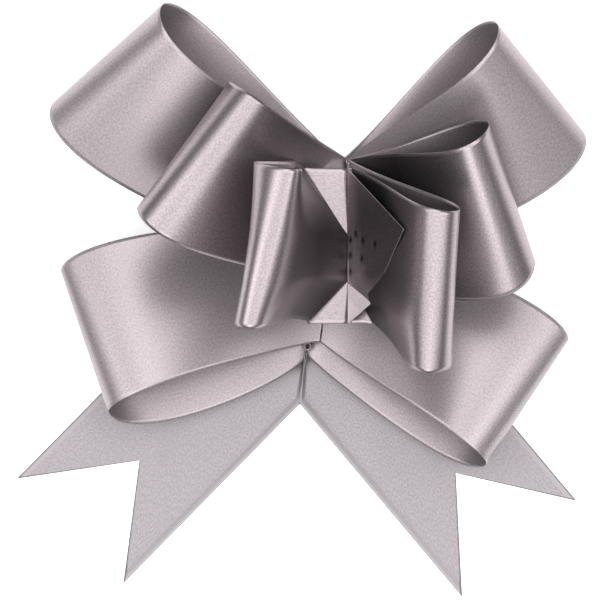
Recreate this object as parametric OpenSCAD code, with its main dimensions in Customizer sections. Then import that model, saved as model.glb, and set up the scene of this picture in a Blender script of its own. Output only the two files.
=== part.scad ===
// Ready-made butterfly bow: two wide ribbon strips gathered at five places on two narrow
// pull ribbons. The bow lies on its back, +Z towards its front, tails towards -Y.

/* [Ribbon] */
// Width of the wide ribbon
ribbon_w = 31; // [24:1:38]
// Thickness of a loop's wall
wall_t = 0.4; // [0.2:0.1:0.6]
// How closely a loop's two walls stay together near its gather
pinch = 4; // [1:0.5:5]

/* [Gathers] */
// Height of the front gather above the back of the bow
front_z = 18; // [14:0.5:22]
// Step down from each gather to the next
gather_step = 4.5; // [3.5:0.5:5.5]
// Thickness of a gather
gather_t = 0.5; // [0.3:0.1:0.8]
// Width of a gather across its line
gather_w = 1.6; // [1.2:0.1:2]
// Space between a gather and the loops that leave it
root_gap = 0.3; // [0.2:0.1:0.6]
// Height between the loop that ends at a gather and the loop that begins there
root_split = 1.2; // [1:0.1:1.6]
// Front gather: centre x, centre y, direction, half length
front_line = [7.5, 17, 90, 15.5]; // [0:0.5:120]
// Second gather: centre x, centre y, direction, half length
second_line = [7.5, 23, 91, 11.5]; // [0:0.5:120]
// Third gather: centre x, centre y, direction, half length
third_line = [7.5, 24.5, 89, 10.5]; // [0:0.5:120]
// Fourth gather: centre x, centre y, direction, half length
fourth_line = [5, 16.5, 82, 15.5]; // [0:0.5:120]
// Upper stretch of the fourth gather, where the large loops end: the same four values
fourth_upper_line = [5.5, 24, 86, 11]; // [0:0.5:120]
// Lower stretch of the fourth gather, where the low loops begin: the same four values
fourth_lower_line = [3.5, 8, 82, 10.5]; // [0:0.5:120]
// Rear gather: centre x, centre y, direction, half length
rear_line = [1.4, 8, 80, 13]; // [0:0.5:120]

/* [Small loops] */
// Reach of the left loop from its gather
small_left_reach = 34; // [28:1:40]
// Left loop: direction seen from the front, and lift above flat
small_left_aim = [192, 58]; // [0:1:360]
// Left loop's bend: direction of its line, and its slope
small_left_bend = [79, 0]; // [-90:1:180]
// Left loop: half opening at its upper and lower edges
small_left_open = [5.5, 3.5]; // [2:0.5:10]
// Left loop: how far its outer layer swings along the bend, at its two edges
small_left_swing = [0, 0]; // [-8:0.5:8]
// Reach of the right loop from its gather
small_right_reach = 31; // [26:1:37]
// Right loop: direction seen from the front, and lift above flat
small_right_aim = [327, 44]; // [0:1:360]
// Right loop's bend: direction of its line, and its slope
small_right_bend = [87, 8]; // [-90:1:180]
// Right loop: half opening at its upper and lower edges
small_right_open = [4.5, 4.5]; // [2:0.5:10]
// Right loop: how far its outer layer swings along the bend, at its two edges
small_right_swing = [0, -2]; // [-8:0.5:8]

/* [Medium loops] */
// Reach of the left loop from its gather
medium_left_reach = 39; // [32:1:46]
// Left loop: direction seen from the front, and lift above flat
medium_left_aim = [159, 29]; // [0:1:360]
// Left loop's bend: direction of its line, and its slope
medium_left_bend = [53, 0]; // [-90:1:180]
// Left loop: half opening at its upper and lower edges
medium_left_open = [6.5, 5.5]; // [2:0.5:10]
// Left loop: how far its outer layer swings along the bend, at its two edges
medium_left_swing = [0, -4.5]; // [-8:0.5:8]
// Reach of the right loop from its gather
medium_right_reach = 36; // [32:1:46]
// Right loop: direction seen from the front, and lift above flat
medium_right_aim = [4, 28]; // [0:1:360]
// Right loop's bend: direction of its line, and its slope
medium_right_bend = [112, 25]; // [-90:1:180]
// Right loop: half opening at its upper and lower edges
medium_right_open = [6, 5]; // [2:0.5:10]
// Right loop: how far its outer layer swings along the bend, at its two edges
medium_right_swing = [0, -5.5]; // [-8:0.5:8]

/* [Large loops] */
// Reach of the left loop from its gather
large_left_reach = 57.5; // [48:1:70]
// Left loop: direction seen from the front, and lift above flat
large_left_aim = [146.5, 9]; // [0:1:360]
// Left loop's bend: direction of its line, and its slope
large_left_bend = [39, 20]; // [-90:1:180]
// Left loop: half opening at its upper and lower edges
large_left_open = [8.5, 6.5]; // [2:0.5:10]
// Left loop: how far its outer layer swings along the bend, at its two edges
large_left_swing = [-2.5, -7]; // [-8:0.5:8]
// Reach of the right loop from its gather
large_right_reach = 49; // [42:1:60]
// Right loop: direction seen from the front, and lift above flat
large_right_aim = [33, 15.5]; // [0:1:360]
// Right loop's bend: direction of its line, and its slope
large_right_bend = [133, 28]; // [-90:1:180]
// Right loop: half opening at its upper and lower edges
large_right_open = [7.5, 6]; // [2:0.5:10]
// Right loop: how far its outer layer swings along the bend, at its two edges
large_right_swing = [0, -5]; // [-8:0.5:8]

/* [Low loops] */
// Reach of the left loop from its gather
low_left_reach = 50; // [42:1:60]
// Left loop: direction seen from the front, and lift above flat
low_left_aim = [192, 8]; // [0:1:360]
// Left loop's bend: direction of its line, and its slope
low_left_bend = [110, -14]; // [-90:1:180]
// Left loop: half opening at its upper and lower edges
low_left_open = [4, 6.5]; // [2:0.5:10]
// Left loop: how far its outer layer swings along the bend, at its two edges
low_left_swing = [5, 0]; // [-8:0.5:8]
// Reach of the right loop from its gather
low_right_reach = 48; // [40:1:58]
// Right loop: direction seen from the front, and lift above flat
low_right_aim = [331.5, 8]; // [0:1:360]
// Right loop's bend: direction of its line, and its slope
low_right_bend = [55, -14]; // [-90:1:180]
// Right loop: half opening at its upper and lower edges
low_right_open = [4, 6.5]; // [2:0.5:10]
// Right loop: how far its outer layer swings along the bend, at its two edges
low_right_swing = [4, 0]; // [-8:0.5:8]

/* [Tails] */
// Length of a tail from the crossing of the inner edges to its tips
tail_length = 52.5; // [40:0.5:65]
// Depth of the V cut
v_depth = 20.5; // [12:0.5:26]
// Direction of the left tail
left_tail_turn = 225.5; // [215:0.5:235]
// Direction of the right tail
right_tail_turn = 310; // [300:0.5:320]
// Crossing of the tails' inner edges, below the tie
crossing = [-2.1, -15.2]; // [-20:0.1:0]
// Length of a tail's neck above the tie
neck_length = 3; // [2:0.5:4]
// Space between the two tails along their crease
tail_gap = 0.6; // [0.4:0.1:1]

/* [End tab] */
// Lift of the folded tab above flat
tab_lift = 66; // [55:1:75]
// Direction of the tab's point seen from the front
tab_turn = 15; // [0:1:30]
// Centre of the tab's fold along the bow
tab_y = 16; // [14:0.5:18]

/* [Pull ribbons] */
// Width of a pull ribbon
pull_w = 5; // [3:0.5:6]
// Thickness of a pull ribbon
pull_t = 0.2; // [0.1:0.1:0.3]
// Distance between the two pull ribbons, centre to centre
pull_spacing = 10; // [8:0.5:12]
// Free space around a pull ribbon in a gather
slot_clearance = 0.1; // [0.05:0.05:0.2]
// Place of the tied end's curl along the rear gather, from its centre
curl_place = -11.5; // [-12:0.1:-10]
// Outside diameter of the curl at the tied end
curl_d = 1.6; // [1.2:0.1:2]

/* [Hidden] */

ribbon_colour = "thistle";
loop_steps = 40;
width_steps = 3;
rear_z = 1;
lines = [front_line, second_line, third_line, fourth_line, rear_line];
starts = [front_line, second_line, third_line, fourth_lower_line];
ends = [second_line, third_line, fourth_upper_line, rear_line];
heights = [for (k = [0:3]) front_z - k * gather_step, rear_z];
root_offset = gather_w / 2 + root_gap + wall_t / 2;
rear_t = rear_z - wall_t;

function unit(v) = v / norm(v);
function aim(turn, lift) = [cos(lift) * cos(turn), cos(lift) * sin(turn), sin(lift)];
function centre(k) = [lines[k][0], lines[k][1], heights[k]];
function along(k) = aim(lines[k][2], 0);
// Edge of a loop at a gather: line is the gather's, z the wall's height there
function root(line, z, side, end) =
    [line[0] + side * root_offset, line[1], z] + end * line[3] * aim(line[2], 0);

// Opening of a loop part of the way round it, 1 at its widest
function swell(t) = sin(t) * pow(sin(t / 2), pinch);
widest_t = 2 * atan(sqrt(pinch + 1));
function opening(t) = swell(t) / swell(widest_t);

// One edge of a loop: out from gather k, round the bend, and back to gather k + 1
function edge_point(k, side, end, t, reach, way, bend, half_open, swing) =
    let (middle = (centre(k) + centre(k + 1)) / 2,
         tip = middle + reach * way + end * ribbon_w / 2 * bend,
         first = root(starts[k], heights[k] - (k > 0 ? root_split / 2 : 0), side, end),
         last = root(ends[k], heights[k + 1] + (k < 3 ? root_split / 2 : 0), side, end),
         start = first + (last - first) * t / 360,
         up = unit(cross(way, bend)))
    start + (tip - start) * (1 - cos(t)) / 2 + half_open * opening(t) * up * sign(up[2])
        + swing * max(0, sin(t)) * bend;

// A closed skin of the given thickness over a grid of points
module sheet(grid, thickness) {
    n = len(grid) - 1;
    m = len(grid[0]) - 1;
    function normal(i, j) = unit(cross(grid[min(i + 1, n)][j] - grid[max(i - 1, 0)][j],
                                       grid[i][min(j + 1, m)] - grid[i][max(j - 1, 0)]));
    points = [for (s = [1, -1], i = [0:n], j = [0:m]) grid[i][j] + s * thickness / 2 * normal(i, j)];
    function at(s, i, j) = (s * (n + 1) + i) * (m + 1) + j;
    function pair(a, b, c, d) = [[a, b, c], [a, c, d]];
    faces = [
        for (i = [0:n - 1], j = [0:m - 1], f = pair(at(0, i, j), at(0, i, j + 1),
                                                    at(0, i + 1, j + 1), at(0, i + 1, j))) f,
        for (i = [0:n - 1], j = [0:m - 1], f = pair(at(1, i, j), at(1, i + 1, j),
                                                    at(1, i + 1, j + 1), at(1, i, j + 1))) f,
        for (i = [0:n - 1], f = pair(at(0, i, 0), at(0, i + 1, 0), at(1, i + 1, 0), at(1, i, 0))) f,
        for (i = [0:n - 1], f = pair(at(0, i, m), at(1, i, m), at(1, i + 1, m), at(0, i + 1, m))) f,
        for (j = [0:m - 1], f = pair(at(0, 0, j), at(1, 0, j), at(1, 0, j + 1), at(0, 0, j + 1))) f,
        for (j = [0:m - 1], f = pair(at(0, n, j), at(0, n, j + 1), at(1, n, j + 1), at(1, n, j))) f
    ];
    polyhedron(points, faces);
}

module loop(k, side, reach, way, bend, open, swing) {
    grid = [for (i = [0:loop_steps])
        let (t = 360 * i / loop_steps,
             low = edge_point(k, side, -1, t, reach, aim(way[0], way[1]), aim(bend[0], bend[1]), open[1],
                              swing[1]),
             high = edge_point(k, side, 1, t, reach, aim(way[0], way[1]), aim(bend[0], bend[1]), open[0],
                               swing[0]))
        [for (j = [0:width_steps]) low + (high - low) * j / width_steps]];
    color(ribbon_colour) sheet(grid, wall_t);
}

// Where a pull ribbon passes through gather k: end is 1 for the upper one, -1 for the lower
function crossing_point(k, end) =
    [centre(k)[0], centre(k)[1], k == 4 ? rear_t : heights[k]] + end * pull_spacing / 2 * along(k);

module pull_box(k, end, clearance, height, up = 0) {
    translate(crossing_point(k, end) + [0, 0, up]) rotate(lines[k][2])
        cube([pull_w + 2 * clearance, pull_t + 2 * clearance, height], center = true);
}

// Straight through each gather, and slanting from the underside of one to the top of the next
module pull_ribbon(end) {
    color("lavender") {
        for (k = [0:4]) pull_box(k, end, 0, 2 * gather_t);
        for (k = [0:3]) hull() {
            pull_box(k, end, 0, pull_t, pull_t / 2 - gather_t);
            pull_box(k + 1, end, 0, pull_t, gather_t - pull_t / 2);
        }
    }
}

// A gather: the two strips welded flat together, with a tunnel for each pull ribbon
module gather(k) {
    color(ribbon_colour) difference() {
        translate(centre(k)) rotate(lines[k][2])
            cube([2 * lines[k][3], gather_w, gather_t], center = true);
        for (end = [-1, 1]) pull_box(k, end, slot_clearance, 4 * gather_t);
    }
}

module front_gather() gather(0);
module second_gather() gather(1);
module third_gather() gather(2);
module fourth_gather() gather(3);

// The rear gather: its underside is the flat back of the bow
module rear_gather() {
    color(ribbon_colour) difference() {
        linear_extrude(rear_t) translate([rear_line[0], rear_line[1]]) rotate(rear_line[2])
            translate([-rear_line[3], -gather_w / 2]) square([2 * rear_line[3], gather_w]);
        for (end = [-1, 1]) pull_box(4, end, slot_clearance, 4 * gather_t);
    }
}

// The pull ribbon's cut end, curled above the tie
module pull_ribbon_curl() {
    color("lavender") translate([rear_line[0], rear_line[1], rear_t] + curl_place * along(4))
        difference() {
            cylinder(d = curl_d, h = 1.2, $fn = 48);
            translate([0, 0, 0.4]) cylinder(d = curl_d - 3 * pull_t, h = 1.2, $fn = 48);
        }
}

// The pointed end of the ribbon, folded over to the right at the front gather
module end_tab() {
    color(ribbon_colour)
        translate([front_line[0] + root_offset, tab_y, front_z + gather_t + wall_t])
            rotate([0, -tab_lift, 0])
                linear_extrude(wall_t) polygon([
                    [0, -ribbon_w / 2], [0, ribbon_w / 2],
                    [v_depth, v_depth * tan(tab_turn) * cos(tab_lift)]]);
}

// A flat tail with a V cut: from its neck at the tie it widens to the full ribbon
module tail(turn, side) {
    ahead = [cos(turn), sin(turn)];
    outward = side * [-sin(turn), cos(turn)];
    inner = crossing + [side * tail_gap / 2, 0];
    foot = [rear_line[0], rear_line[1]] - rear_line[3] * [cos(rear_line[2]), sin(rear_line[2])];
    neck = side * (gather_w / 2 + 2 * root_gap);
    color(ribbon_colour) linear_extrude(wall_t) polygon([
        inner,
        inner + tail_length * ahead,
        inner + (tail_length - v_depth) * ahead + ribbon_w / 2 * outward,
        inner + tail_length * ahead + ribbon_w * outward,
        inner + ribbon_w * outward,
        [2 * neck, neck_length],
        [neck, 0],
        foot + [neck, 0]]);
}

module small_loop_left() loop(0, -1, small_left_reach, small_left_aim, small_left_bend,
    small_left_open, small_left_swing);
module small_loop_right() loop(0, 1, small_right_reach, small_right_aim, small_right_bend,
    small_right_open, small_right_swing);
module medium_loop_left() loop(1, -1, medium_left_reach, medium_left_aim, medium_left_bend,
    medium_left_open, medium_left_swing);
module medium_loop_right() loop(1, 1, medium_right_reach, medium_right_aim, medium_right_bend,
    medium_right_open, medium_right_swing);
module large_loop_left() loop(2, -1, large_left_reach, large_left_aim, large_left_bend,
    large_left_open, large_left_swing);
module large_loop_right() loop(2, 1, large_right_reach, large_right_aim, large_right_bend,
    large_right_open, large_right_swing);
module low_loop_left() loop(3, -1, low_left_reach, low_left_aim, low_left_bend,
    low_left_open, low_left_swing);
module low_loop_right() loop(3, 1, low_right_reach, low_right_aim, low_right_bend,
    low_right_open, low_right_swing);
module tail_left() tail(left_tail_turn, -1);
module tail_right() tail(right_tail_turn, 1);

front_gather();
second_gather();
third_gather();
fourth_gather();
rear_gather();
pull_ribbon(1);  // upper_pull_ribbon
pull_ribbon(-1);  // lower_pull_ribbon
pull_ribbon_curl();
end_tab();
small_loop_left();
small_loop_right();
medium_loop_left();
medium_loop_right();
large_loop_left();
large_loop_right();
low_loop_left();
low_loop_right();
tail_left();
tail_right();
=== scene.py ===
import bpy
import numpy as np
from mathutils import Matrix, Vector


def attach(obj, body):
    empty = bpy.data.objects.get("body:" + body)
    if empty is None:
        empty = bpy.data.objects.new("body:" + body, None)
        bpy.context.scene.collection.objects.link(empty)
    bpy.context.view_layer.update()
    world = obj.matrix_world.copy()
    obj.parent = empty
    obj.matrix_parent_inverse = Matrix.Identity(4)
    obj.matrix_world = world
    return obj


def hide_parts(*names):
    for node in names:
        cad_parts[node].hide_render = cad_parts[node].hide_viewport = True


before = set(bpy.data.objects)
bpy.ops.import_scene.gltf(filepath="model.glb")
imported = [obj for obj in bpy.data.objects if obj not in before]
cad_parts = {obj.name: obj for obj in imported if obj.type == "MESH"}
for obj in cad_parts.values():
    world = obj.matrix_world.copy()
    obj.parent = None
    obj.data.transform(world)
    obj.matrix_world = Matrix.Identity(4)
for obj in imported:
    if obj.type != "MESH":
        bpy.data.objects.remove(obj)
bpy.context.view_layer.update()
mm = 0.001
print("frame loaded:", len(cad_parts), "nodes")

# what all the ribbon pieces share, lengths in mm
ribbon = {
    "width": 31.0,
    "thickness": 0.12, "gap": 0.15,   # gap: from the gathered line to a layer's root
    "acrossSteps": 40,
    "aroundSteps": 150,
}

# the gathered lines: centre x and y, direction in degrees, half length, height
gatherLine = {
    "front": (7.6, 17.0, 90.0, 15.5, 18.0),
    "second": (7.5, 23.0, 91.0, 11.5, 13.5),
    "third": (7.5, 24.5, 89.0, 10.5, 9.0),
    "fourthUpper": (5.5, 24.0, 86.0, 11.0, 4.8),
    "fourthLower": (3.5, 8.0, 82.0, 10.5, 4.2),
    "rear": (1.4, 8.0, 80.0, 13.0, 1.0),
}


def aim(turn, lift=0.0):
    # unit vector pointing turn degrees round from +X and lift degrees above flat
    a, b = np.radians([turn, lift])
    return np.array([np.cos(b) * np.cos(a), np.cos(b) * np.sin(a), np.sin(b)])


def ramp(x, low, high):
    # 0 below low, 1 above high, straight between
    return np.clip((x - low) / (high - low), 0, 1)


def lineAt(name, across):
    # a point of a gathered line: its centre plus across times its half length along it
    x, y, turn, half, z = gatherLine[name]
    return np.array([x, y, z]) + across[..., None] * half * aim(turn)


def gridUv(grid):
    # metres walked along and across the surface, so that patterns keep their real size
    rowStep = np.linalg.norm(np.diff(grid, axis=0), axis=2).mean(1)
    colStep = np.linalg.norm(np.diff(grid, axis=1), axis=2).mean(0)
    u = np.concatenate([[0], np.cumsum(rowStep)])
    v = np.concatenate([[0], np.cumsum(colStep)])
    return np.stack(np.broadcast_arrays(u[:, None], v[None, :] - v[-1] / 2), -1)


def surfaceFromGrid(name, grid, material, thickness):
    # rows by columns of points joined into four-sided faces, then given its thickness
    rows, cols = grid.shape[:2]
    index = np.arange(rows * cols).reshape(rows, cols)
    corners = np.stack([index[:-1, :-1], index[1:, :-1], index[1:, 1:], index[:-1, 1:]], -1).reshape(-1, 4)
    mesh = bpy.data.meshes.new(name)
    mesh.vertices.add(rows * cols)
    mesh.vertices.foreach_set("co", (grid * mm).reshape(-1))
    mesh.loops.add(corners.size)
    mesh.loops.foreach_set("vertex_index", corners.reshape(-1))
    mesh.polygons.add(len(corners))
    mesh.polygons.foreach_set("loop_start", np.arange(0, corners.size, 4))
    mesh.polygons.foreach_set("use_smooth", np.ones(len(corners), dtype=bool))
    uv = mesh.uv_layers.new(name="ribbonUv")
    uv.data.foreach_set("uv", (gridUv(grid) * mm).reshape(-1, 2)[corners.reshape(-1)].reshape(-1))
    mesh.update()
    mesh.validate()
    mesh.materials.append(material)
    piece = bpy.data.objects.new(name, mesh)
    bpy.context.scene.collection.objects.link(piece)
    wall = piece.modifiers.new("wall", "SOLIDIFY")
    wall.thickness = thickness * mm
    wall.offset = 0
    return piece


def paintPoints(piece, layer, values):
    # one number per point of the surface, for its finish to read
    data = piece.data.attributes.new(layer, "FLOAT", "POINT").data
    data.foreach_set("value", np.ascontiguousarray(values, dtype=np.float32).reshape(-1))


def flatLength(grid):
    # mean length of the surface's lines from one end to the other
    return float(np.linalg.norm(np.diff(grid, axis=0), axis=2).sum(0).mean())


def link(tree, a, b):
    tree.links.new(a, b)


def pearlRibbon(name, tint, seed, metallic, roughness):
    # pearl plastic: fine shimmering grain, faint cloudiness in the colour, pale slit edges
    look = {"grain": 2600.0, "cloud": 90.0}
    mat = bpy.data.materials.new(name)
    mat.use_nodes = True
    tree = mat.node_tree
    tree.nodes.clear()
    out = tree.nodes.new("ShaderNodeOutputMaterial")
    skin = tree.nodes.new("ShaderNodeBsdfPrincipled")
    link(tree, skin.outputs["BSDF"], out.inputs["Surface"])
    coords = tree.nodes.new("ShaderNodeUVMap")
    coords.uv_map = "ribbonUv"
    place = tree.nodes.new("ShaderNodeMapping")
    place.inputs["Location"].default_value = (seed * 0.37, seed * 0.11, 0)
    link(tree, coords.outputs["UV"], place.inputs["Vector"])
    grain = tree.nodes.new("ShaderNodeTexNoise")
    grain.inputs["Scale"].default_value = look["grain"]
    grain.inputs["Detail"].default_value = 1.0
    link(tree, place.outputs["Vector"], grain.inputs["Vector"])
    cloud = tree.nodes.new("ShaderNodeTexNoise")
    cloud.inputs["Scale"].default_value = look["cloud"]
    cloud.inputs["Detail"].default_value = 3.0
    link(tree, place.outputs["Vector"], cloud.inputs["Vector"])
    # colour: tint, a little darker and pinker in the clouds, speckled by the grain
    shade = tree.nodes.new("ShaderNodeMix")
    shade.data_type = "RGBA"
    shade.inputs["A"].default_value = (*[c * 0.94 for c in tint], 1)
    shade.inputs["B"].default_value = (*[min(1, c * 1.05) for c in tint], 1)
    link(tree, cloud.outputs["Fac"], shade.inputs["Factor"])
    spread = tree.nodes.new("ShaderNodeMapRange")
    spread.inputs["From Min"].default_value = 0.3
    spread.inputs["From Max"].default_value = 0.7
    spread.inputs["To Min"].default_value = 0.86
    spread.inputs["To Max"].default_value = 1.18
    link(tree, grain.outputs["Fac"], spread.inputs["Value"])
    speckle = tree.nodes.new("ShaderNodeVectorMath")
    speckle.operation = "SCALE"
    link(tree, shade.outputs["Result"], speckle.inputs[0])
    link(tree, spread.outputs["Result"], speckle.inputs["Scale"])
    # slit edges: the last 0.25 mm each side reads paler
    across = tree.nodes.new("ShaderNodeSeparateXYZ")
    link(tree, coords.outputs["UV"], across.inputs["Vector"])
    side = tree.nodes.new("ShaderNodeMath")
    side.operation = "ABSOLUTE"
    link(tree, across.outputs["Y"], side.inputs[0])
    edge = tree.nodes.new("ShaderNodeMapRange")
    edge.inputs["From Min"].default_value = 0.0151
    edge.inputs["From Max"].default_value = 0.0154
    link(tree, side.outputs["Value"], edge.inputs["Value"])
    worn = tree.nodes.new("ShaderNodeMix")
    worn.data_type = "RGBA"
    worn.inputs["B"].default_value = (*[min(1, c * 1.12) for c in tint], 1)
    link(tree, edge.outputs["Result"], worn.inputs["Factor"])
    link(tree, speckle.outputs["Vector"], worn.inputs["A"])
    # weld marks: the pressed spots are dull and dark
    weld = tree.nodes.new("ShaderNodeAttribute")
    weld.attribute_name = "weldMark"
    pressed = tree.nodes.new("ShaderNodeMix")
    pressed.data_type = "RGBA"
    pressed.inputs["B"].default_value = (0.03, 0.024, 0.026, 1)
    link(tree, weld.outputs["Fac"], pressed.inputs["Factor"])
    link(tree, worn.outputs["Result"], pressed.inputs["A"])
    # painted shade: the base colour is darkened by each point's painted fold-shade value, on creased walls
    # beside a gather, on the pleats and on the end tab's upper part
    fold = tree.nodes.new("ShaderNodeAttribute")
    fold.attribute_name = "paintedFoldShade"
    keep = tree.nodes.new("ShaderNodeMath")
    keep.operation = "SUBTRACT"
    keep.inputs[0].default_value = 1.0
    link(tree, fold.outputs["Fac"], keep.inputs[1])
    paintedShade = tree.nodes.new("ShaderNodeVectorMath")
    paintedShade.operation = "SCALE"
    link(tree, pressed.outputs["Result"], paintedShade.inputs[0])
    link(tree, keep.outputs["Value"], paintedShade.inputs["Scale"])
    link(tree, paintedShade.outputs["Vector"], skin.inputs["Base Color"])
    rough = tree.nodes.new("ShaderNodeMapRange")
    rough.inputs["From Min"].default_value = 0.3
    rough.inputs["From Max"].default_value = 0.7
    rough.inputs["To Min"].default_value = roughness - 0.02
    rough.inputs["To Max"].default_value = roughness + 0.03
    link(tree, grain.outputs["Fac"], rough.inputs["Value"])
    link(tree, rough.outputs["Result"], skin.inputs["Roughness"])
    bump = tree.nodes.new("ShaderNodeBump")
    bump.inputs["Strength"].default_value = 0.12
    bump.inputs["Distance"].default_value = 0.00002
    link(tree, grain.outputs["Fac"], bump.inputs["Height"])
    link(tree, bump.outputs["Normal"], skin.inputs["Normal"])
    skin.inputs["Metallic"].default_value = metallic
    return mat


# painted light: the second and third finishes are copies of the one ribbon finish, retinted and made less
# metallic, as lit copies that set how bright the large and low loops and the tails read
pearl = pearlRibbon("pearlRibbon", (0.40, 0.353, 0.372), 0, 0.90, 0.36)
pearlSoftLitCopy = pearlRibbon("pearlRibbonSoftLitCopy", (0.425, 0.38, 0.398), 5, 0.68, 0.40)
pearlTailLitCopy = pearlRibbon("pearlRibbonTailLitCopy", (0.335, 0.307, 0.322), 3, 0.60, 0.46)
pullPearl = pearlRibbon("pullRibbonPearl", (0.44, 0.39, 0.41), 7, 0.90, 0.36)
print("finishes made")


# each loop, lengths in mm and angles in degrees: the gathered lines it starts and ends at, the gather it
# rests on and the side it leaves on; its reach, the direction and lift of that, and the direction and
# slope of its bend line; its half openings at its upper and lower edges, how far its outer layer swings
# along the bend line at those edges, and its inner layer at the lower one; how long its layers lie flat
# at the front gather, and how far they drop there; how late its layers part, and the painted shade on its
# first wall
loops = {
    "small_loop_left": {
        "from": "front", "to": "second", "restsOn": "second_gather", "side": -1,
        "reach": 34, "aim": (192, 58), "bend": (79, 0),
        "open": (5.2, 3.2), "swing": (0, 0), "innerSwing": 0,
        "shelf": (9.5, 8.0),
        "pinch": 4, "paintedFoldShade": 0.6,
    },
    "small_loop_right": {
        "from": "front", "to": "second", "restsOn": "second_gather", "side": 1,
        "reach": 31, "aim": (327, 44), "bend": (87, 8),
        "open": (4.5, 4.5), "swing": (0, -2), "innerSwing": 0,
        "shelf": (0.5, 5.0), "drop": (1.0, 2.6),
        "pinch": 3.5, "paintedFoldShade": 0.7,
    },
    "medium_loop_left": {
        "from": "second", "to": "third", "restsOn": "third_gather", "side": -1,
        "reach": 39, "aim": (159, 29), "bend": (53, 0),
        "open": (6.5, 5.5), "swing": (0, -4.5), "innerSwing": 0,
        "pinch": 4, "paintedFoldShade": 0.1,
    },
    "medium_loop_right": {
        "from": "second", "to": "third", "restsOn": "third_gather", "side": 1,
        "reach": 36, "aim": (4, 28), "bend": (112, 25),
        "open": (6, 5), "swing": (0, -5.5), "innerSwing": 0,
        "pinch": 3.5, "paintedFoldShade": 0.72,
    },
    "large_loop_left": {
        "from": "third", "to": "fourthUpper", "restsOn": "fourth_gather", "side": -1,
        "reach": 57.5, "aim": (146.5, 9), "bend": (39, 20),
        "open": (8.5, 6.5), "swing": (-2.5, -7), "innerSwing": 0,
        "pinch": 3, "paintedFoldShade": 0.6,
    },
    "large_loop_right": {
        "from": "third", "to": "fourthUpper", "restsOn": "fourth_gather", "side": 1,
        "reach": 49, "aim": (33, 15.5), "bend": (133, 28),
        "open": (7.5, 6), "swing": (0, -5), "innerSwing": 0,
        "pinch": 2.5, "paintedFoldShade": 0.0,
    },
    "low_loop_left": {
        "from": "fourthLower", "to": "rear", "restsOn": "rear_gather", "side": -1,
        "reach": 50, "aim": (192, 8), "bend": (110, -14),
        "open": (4, 6.5), "swing": (5, 1), "innerSwing": -4.5,
        "pinch": 2, "paintedFoldShade": 0.0,
    },
    "low_loop_right": {
        "from": "fourthLower", "to": "rear", "restsOn": "rear_gather", "side": 1,
        "reach": 48, "aim": (331.5, 8), "bend": (55, -14),
        "open": (4, 6.5), "swing": (4, 0), "innerSwing": -2.5,
        "pinch": 2.5, "paintedFoldShade": 0.0,
    },
}
# the front gather is pulled deepest between these shares of its half length
pulledIn = {"top": 0.14, "bottom": -0.46, "rise": 1.6}


def frontRise(across):
    # the front gather's ends stay higher than its pulled-in middle
    top = ramp(across, pulledIn["top"], 1)
    bottom = ramp(-across, -pulledIn["bottom"], 1)
    return pulledIn["rise"] * (top + bottom), top, bottom


def loopGrid(spec):
    # out from the first gather and back to the next: half of one less the cosine of t of the way to the
    # bend, and off to the side by the half opening times the swell, which is the sine of t times the
    # sine of half t to the power of the pinch, scaled so that its largest value is 1
    t = np.linspace(0, 2 * np.pi, ribbon["aroundSteps"] + 1)[:, None, None]
    across = np.linspace(-1, 1, ribbon["acrossSteps"] + 1)
    widest = 2 * np.arctan(np.sqrt(spec["pinch"] + 1))
    swell = np.sin(t) * np.sin(t / 2) ** spec["pinch"]
    swell = swell / (np.sin(widest) * np.sin(widest / 2) ** spec["pinch"])
    way, bend = aim(*spec["aim"]), aim(*spec["bend"])
    up = np.cross(way, bend)
    up = up / np.linalg.norm(up) * np.sign(up[2])
    first, last = lineAt(spec["from"], across), lineAt(spec["to"], across)
    middle = (lineAt(spec["from"], np.zeros(1)) + lineAt(spec["to"], np.zeros(1)))[0] / 2
    first[:, 0] += spec["side"] * ribbon["gap"]
    last[:, 0] += spec["side"] * ribbon["gap"]
    if "drop" in spec:
        first[:, 2] -= spec["drop"][1] + (spec["drop"][0] - spec["drop"][1]) * (across + 1) / 2
    tip = middle + spec["reach"] * way + across[:, None] * ribbon["width"] / 2 * bend
    half = spec["open"][1] + (spec["open"][0] - spec["open"][1]) * (across + 1) / 2
    shelf = np.zeros_like(across)
    if spec["from"] == "front":
        rise, top, bottom = frontRise(across)
        first[:, 2] += rise
        # beside the pulled-in middle both layers lie flat for a while before they rise
        shelf = spec["shelf"][0] * top + spec["shelf"][1] * bottom
    innerFirst, innerLast = first, last
    first = first + np.stack([spec["side"] * shelf, 0 * across, 0.16 * shelf], -1)
    last = last + np.stack([spec["side"] * shelf * 1.06, 0 * across, 0.62 * shelf], -1)
    start = first + (last - first) * t / (2 * np.pi)
    outer = spec["swing"][1] + (spec["swing"][0] - spec["swing"][1]) * (across + 1) / 2
    inner = spec["innerSwing"] * (1 - across) / 2
    sideways = outer[:, None] * np.clip(np.sin(t), 0, 1) + inner[:, None] * np.clip(-np.sin(t), 0, 1)
    grid = start + (tip - start) * (1 - np.cos(t)) / 2 + half[:, None] * swell * up + sideways * bend
    share = np.linspace(0, 1, 9)[:-1, None, None]
    leadIn = innerFirst + (first - innerFirst) * share
    leadOut = innerLast + (last - innerLast) * share[::-1]
    # painted shade: the creased wall next to the first gather is painted darkest, fading out towards the
    # bend
    shade = np.broadcast_to(spec["paintedFoldShade"] * (1 - ramp(t[..., 0], 1.3, 2.3)), grid.shape[:2])
    if not shelf.any():
        return grid, shade
    flat = np.zeros(leadIn.shape[:2])
    return np.concatenate([leadIn, grid, leadOut], 0), np.concatenate([flat, shade, flat], 0)


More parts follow.
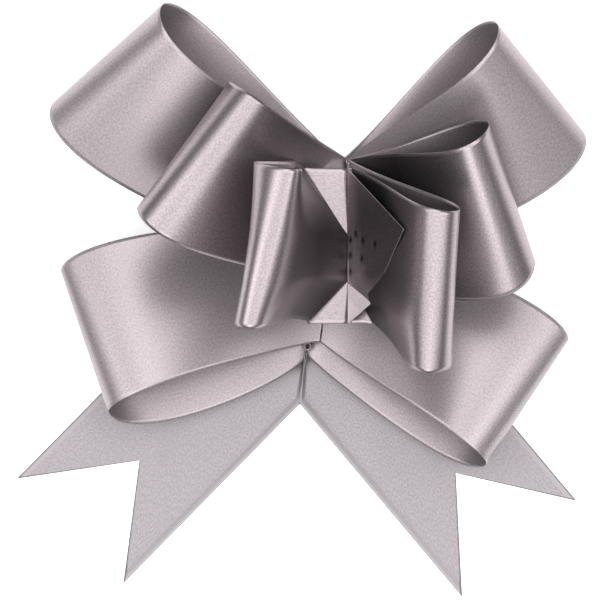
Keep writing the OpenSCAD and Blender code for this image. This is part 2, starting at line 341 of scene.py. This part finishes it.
for name, spec in loops.items():
    grid, shade = loopGrid(spec)
    if spec["side"] > 0:
        grid, shade = grid[:, ::-1], shade[:, ::-1]   # keeps the outer face outwards on both hands
    # painted light: the large and low loops take the lit copy of the finish
    finish = pearlSoftLitCopy if name.startswith(("large", "low")) else pearl
    loop = surfaceFromGrid(name + "_ribbon", grid, finish, ribbon["thickness"])
    # painted shade on the loop's creased first wall
    paintPoints(loop, "paintedFoldShade", shade)
    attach(loop, name)
    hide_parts(name)
    print(name, "ribbon length", round(flatLength(grid), 1), "mm")


endTab = {
    "crownTop": (7.45, 32.3, 19.6), "pullTop": (7.45, 18.8, 18.1), "pullBottom": (7.4, 9.6, 18.1),
    "crownBottom": (7.45, 1.4, 19.6), "point": (17.9, 19.8, 36.0), "knee": (12.2, 5.6, 19.9),
    "welds": [(8.9, 19.4), (7.9, 18.2), (10.3, 18.0), (12.6, 17.2), (7.9, 15.2), (10.1, 14.4), (7.9, 11.9)],
    "weldDepth": 0.22, "length": 0.0205,
    "paintedFoldShade": 0.4, "shadedFrom": 20.2, "shadedBy": 22.5,   # painted shade, darker above these heights
}


def weldMarks(points, spots):
    # a small upright oval dent around each spot, falling off like a bell in both directions
    marks = np.zeros(points.shape[:2])
    for x, y in spots:
        marks += np.exp(-((points[..., 0] - x) / 0.32) ** 2 - ((points[..., 1] - y) / 0.7) ** 2)
    return np.clip(marks, 0, 1)


def tabGrid(spec, columns=80):
    # straight lines from the gathered edge to the cut edge, both edges walked from bottom to top
    across = np.linspace(-1, 1, 201)
    marks = [-1, pulledIn["bottom"], pulledIn["top"], 1]
    gathered = [spec["crownBottom"], spec["pullBottom"], spec["pullTop"], spec["crownTop"]]
    cut = [spec["crownBottom"], spec["knee"], spec["point"], spec["crownTop"]]
    inner = np.stack([np.interp(across, marks, [p[i] for p in gathered]) for i in range(3)], -1)
    outer = np.stack([np.interp(across, marks, [p[i] for p in cut]) for i in range(3)], -1)
    share = np.linspace(0, 1, columns + 1)[:, None, None]
    bow = 0.5 * np.sin(np.pi * share) * np.array([0.6, 0, -0.4])
    return inner + (outer - inner) * share + bow * np.linalg.norm(outer - inner, axis=1)[None, :, None] / 20


tabPoints = tabGrid(endTab)[:, ::-1]
tabMarks = weldMarks(tabPoints, endTab["welds"])
tabPoints = tabPoints + tabMarks[..., None] * endTab["weldDepth"] * np.array([0.85, 0, -0.5])
tab = surfaceFromGrid("end_tab_ribbon", tabPoints, pearl, 2 * ribbon["thickness"])
paintPoints(tab, "weldMark", tabMarks)
# painted shade: the tab's colour is darkened above shadedFrom, fully above shadedBy
above = ramp(tabPoints[..., 2], endTab["shadedFrom"], endTab["shadedBy"])
paintPoints(tab, "paintedFoldShade", endTab["paintedFoldShade"] * above)
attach(tab, "end_tab")
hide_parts("end_tab")
print("end tab made")


tails = {
    "tail_left": {"turn": 225.5, "side": -1, "crossing": (-2.0, -15.2), "lie": 0.12},
    "tail_right": {"turn": 310.0, "side": 1, "crossing": (-2.2, -15.2), "lie": 0.4},
}
tailCut = {
    "length": 52.5, "vDepth": 20.5,
    "neckLow": (-0.9, -4.8), "neckHigh": (1.0, 9.0), "neckArea": 250,
}


def tailGrid(spec):
    # from the gathered neck the lanes fan out to the full width, then run straight to the V cut
    across = np.linspace(0, 1, 61)
    ahead, outward = aim(spec["turn"])[:2], aim(spec["turn"] + spec["side"] * 90)[:2]
    cross = np.array(spec["crossing"])
    low, high = np.array(tailCut["neckLow"]), np.array(tailCut["neckHigh"])
    neck = low + across[:, None] * (high - low) - np.array([spec["side"] * 0.2, 0])
    straight = cross + across[:, None] * ribbon["width"] * outward
    reach = tailCut["length"] - tailCut["vDepth"] * (1 - np.abs(2 * across - 1))
    end = straight + reach[:, None] * ahead
    share = np.linspace(0, 1, 31)[:, None, None]
    plan = np.concatenate([neck + (straight - neck) * share[:-1],
                           straight + (end - straight) * np.linspace(0, 1, 61)[:, None, None]], 0)
    ruck = np.concatenate([(1 - share[:-1, 0, 0]) ** 1.5, np.zeros(61)])[:, None]
    curl = 0.7 * np.exp(-(across / 0.035) ** 2)
    z = spec["lie"] + 0.5 * ruck * (1 + np.sin(across * 19 + 1)) + curl
    return np.concatenate([plan, z[..., None] + 0 * plan[..., :1]], 2)


for name, spec in tails.items():
    grid = tailGrid(spec)
    if spec["side"] > 0:
        grid = grid[:, ::-1]
    # painted light: the tails take their own lit copy of the finish
    tail = surfaceFromGrid(name + "_ribbon", grid, pearlTailLitCopy, ribbon["thickness"])
    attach(tail, name)
    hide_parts(name)
print("tails made")


# the tie's own gathered lines, from front to rear, as gatherLine gives them
tie = {
    "front_gather": (7.5, 17.0, 90.0, 15.5, 18.0),
    "second_gather": gatherLine["second"],
    "third_gather": gatherLine["third"],
    "fourth_gather": (5.0, 16.5, 82.0, 15.5, 4.5),
    "rear_gather": gatherLine["rear"],
}
# pleat sizes in mm, and the painted shade that darkens all the pleats evenly
crimp = {
    "width": 1.6, "pitch": 2.6, "height": 0.09, "lean": 1.4, "sink": 0.3, "sinkFullAbove": 4,
    "thickness": 0.2, "paintedFoldShade": 0.15,
}


def gatherGrid(name):
    # small even pleats along the line: height times sin of the distance over the pitch, leaning a little
    x, y, turn, half, z = tie[name]
    along = np.linspace(-1, 1, 241)
    across = np.linspace(-0.5, 0.5, 9)
    way, side = aim(turn), aim(turn - 90)
    centre = np.array([x, y, z]) + along[:, None] * half * way
    if name == "front_gather":
        centre[:, 2] += frontRise(along)[0]
    phase = 2 * np.pi * along[:, None] * half / crimp["pitch"] + crimp["lean"] * across
    height = crimp["height"] * np.sin(phase) * (0.8 + 0.2 * np.sin(along[:, None] * 9.0))
    width = crimp["width"] * (1 - 0.12 * np.cos(phase * 0.5) ** 2)
    grid = centre[:, None, :] + across[:, None] * width[..., None] * side
    grid[..., 2] += height - crimp["sink"] * min(1, z / crimp["sinkFullAbove"])
    return grid


for name in tie:
    grid = gatherGrid(name)
    pleats = surfaceFromGrid(name + "_pleats", grid, pearl, crimp["thickness"])
    # painted shade, even over the pleats
    paintPoints(pleats, "paintedFoldShade", np.full(grid.shape[:2], crimp["paintedFoldShade"]))
    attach(pleats, "tie")
    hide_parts(name)
print("gathers pleated")

pullRibbon = {"width": 5.0, "apart": 10.0, "top": 18.45, "bottom": 0.25, "cup": 0.12}
# which end of the gathers each one runs through
pullEnds = {"upper_pull_ribbon": 1, "lower_pull_ribbon": -1}


def pullGrid(spec, end):
    # straight down from gather to gather, turning with each, its width along them
    lines = np.array([tie[name] for name in tie])[::-1]
    z = np.linspace(spec["top"], spec["bottom"], 121)
    x, y, turn = [np.interp(z, lines[:, 4], lines[:, i]) for i in range(3)]
    way = np.stack([np.cos(np.radians(turn)), np.sin(np.radians(turn)), 0 * z], -1)
    centre = np.stack([x, y, z], -1) + end * spec["apart"] / 2 * way
    across = np.linspace(-0.5, 0.5, 13)
    cupped = spec["cup"] * (across * 2) ** 2
    side = np.stack([way[:, 1], -way[:, 0], 0 * z], -1)
    lanes = centre[:, None, :] + across[:, None] * spec["width"] * way[:, None, :]
    return lanes + cupped[:, None] * side[:, None, :]


for name, end in pullEnds.items():
    grid = pullGrid(pullRibbon, end)
    pull = surfaceFromGrid(name + "_strip", grid, pullPearl, ribbon["thickness"])
    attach(pull, "tie")
    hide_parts(name)
    print(name, "length", round(flatLength(grid), 1), "mm")

curl = {
    "place": -11.5, "outer": 0.8, "inner": 0.5, "turns": 1.3, "startAngle": 2.2,
    "low": 0.75, "high": 2.9, "thickness": 0.2,
}


def curlGrid(spec):
    # a short roll standing on the rear gather, winding inwards: radius falls evenly with the angle
    x, y, turn, half, z = tie["rear_gather"]
    centre = np.array([x, y, 0]) + spec["place"] * aim(turn)
    share = np.linspace(0, 1, 73)[:, None]
    angle = 2 * np.pi * spec["turns"] * share + spec["startAngle"]
    radius = spec["outer"] + (spec["inner"] - spec["outer"]) * share
    height = spec["low"] + (spec["high"] - spec["low"]) * np.linspace(0, 1, 9)
    flat = np.broadcast_arrays(radius * np.cos(angle), radius * np.sin(angle), height + 0 * share)
    return np.stack(flat, -1) + centre


curlPoints = curlGrid(curl)
roll = surfaceFromGrid("pull_ribbon_curl_roll", curlPoints, pullPearl, curl["thickness"])
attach(roll, "tie")
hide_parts("pull_ribbon_curl")
print("pull ribbons and curl made")


studio = {
    "camera": (-2.1, 6.2, 475.0), "lens": 137.0,
    # height, light
    "sky": [(0.0, 0.02), (0.38, 0.06), (0.60, 0.46), (0.80, 1.45), (0.94, 1.80), (1.0, 1.65)],
    # place, size, power
    "softboxes": [
        ((-330, 60, 400), 240, 0.42), ((330, 60, 400), 240, 0.42),
        ((0, -300, 380), 280, 0.65), ((0, 360, 400), 280, 0.5),
    ],
    "aimedAt": (5, 5, 20),
    "floorHalf": 3.0, "floorHeight": -0.00005,
    "floorGlow": 0.40,
    "gamma": 0.88,
}


def floorAndLights():
    # a wide pale floor just under the bow, and soft boxes above it on all four sides of the camera
    half, low = studio["floorHalf"], studio["floorHeight"]
    mesh = bpy.data.meshes.new("floor")
    corners = [(-half, -half, low), (half, -half, low), (half, half, low), (-half, half, low)]
    mesh.from_pydata(corners, [], [(0, 1, 2, 3)])
    floor = bpy.data.objects.new("floor", mesh)
    bpy.context.scene.collection.objects.link(floor)
    paint = bpy.data.materials.new("paleFloor")
    paint.use_nodes = True
    skin = paint.node_tree.nodes["Principled BSDF"]
    skin.inputs["Base Color"].default_value = (0.95, 0.95, 0.95, 1)
    skin.inputs["Roughness"].default_value = 0.9
    skin.inputs["Emission Color"].default_value = (1, 1, 1, 1)
    skin.inputs["Emission Strength"].default_value = studio["floorGlow"]
    mesh.materials.append(paint)
    for place, size, power in studio["softboxes"]:
        data = bpy.data.lights.new("softbox", "AREA")
        data.shape = "SQUARE"
        data.size = size * mm
        data.energy = power
        lamp = bpy.data.objects.new("softbox", data)
        lamp.location = [c * mm for c in place]
        bpy.context.scene.collection.objects.link(lamp)
        towards = np.array(studio["aimedAt"]) * mm - np.array(lamp.location)
        lamp.rotation_euler = Vector(towards).to_track_quat("-Z", "Y").to_euler()
    world = bpy.data.worlds.new("studioWorld")
    bpy.context.scene.world = world
    world.use_nodes = True
    tree = world.node_tree
    # light from overhead that fades towards the horizon
    coords = tree.nodes.new("ShaderNodeTexCoord")
    split = tree.nodes.new("ShaderNodeSeparateXYZ")
    link(tree, coords.outputs["Generated"], split.inputs["Vector"])
    skyRamp = tree.nodes.new("ShaderNodeValToRGB")
    for k, (height, light) in enumerate(studio["sky"]):
        stop = skyRamp.color_ramp.elements[k] if k < 2 else skyRamp.color_ramp.elements.new(height)
        stop.position = height
        stop.color = (light, light, light, 1)
    link(tree, split.outputs["Z"], skyRamp.inputs["Fac"])
    link(tree, skyRamp.outputs["Color"], tree.nodes["Background"].inputs["Color"])


def cameraAbove():
    data = bpy.data.cameras.new("camera")
    data.lens = studio["lens"]
    data.sensor_width = 36
    camera = bpy.data.objects.new("camera", data)
    camera.location = [c * mm for c in studio["camera"]]
    bpy.context.scene.collection.objects.link(camera)
    bpy.context.scene.camera = camera


floorAndLights()
cameraAbove()
bpy.context.scene.view_settings.view_transform = "Standard"
bpy.context.scene.view_settings.gamma = studio["gamma"]
print("scene finished")
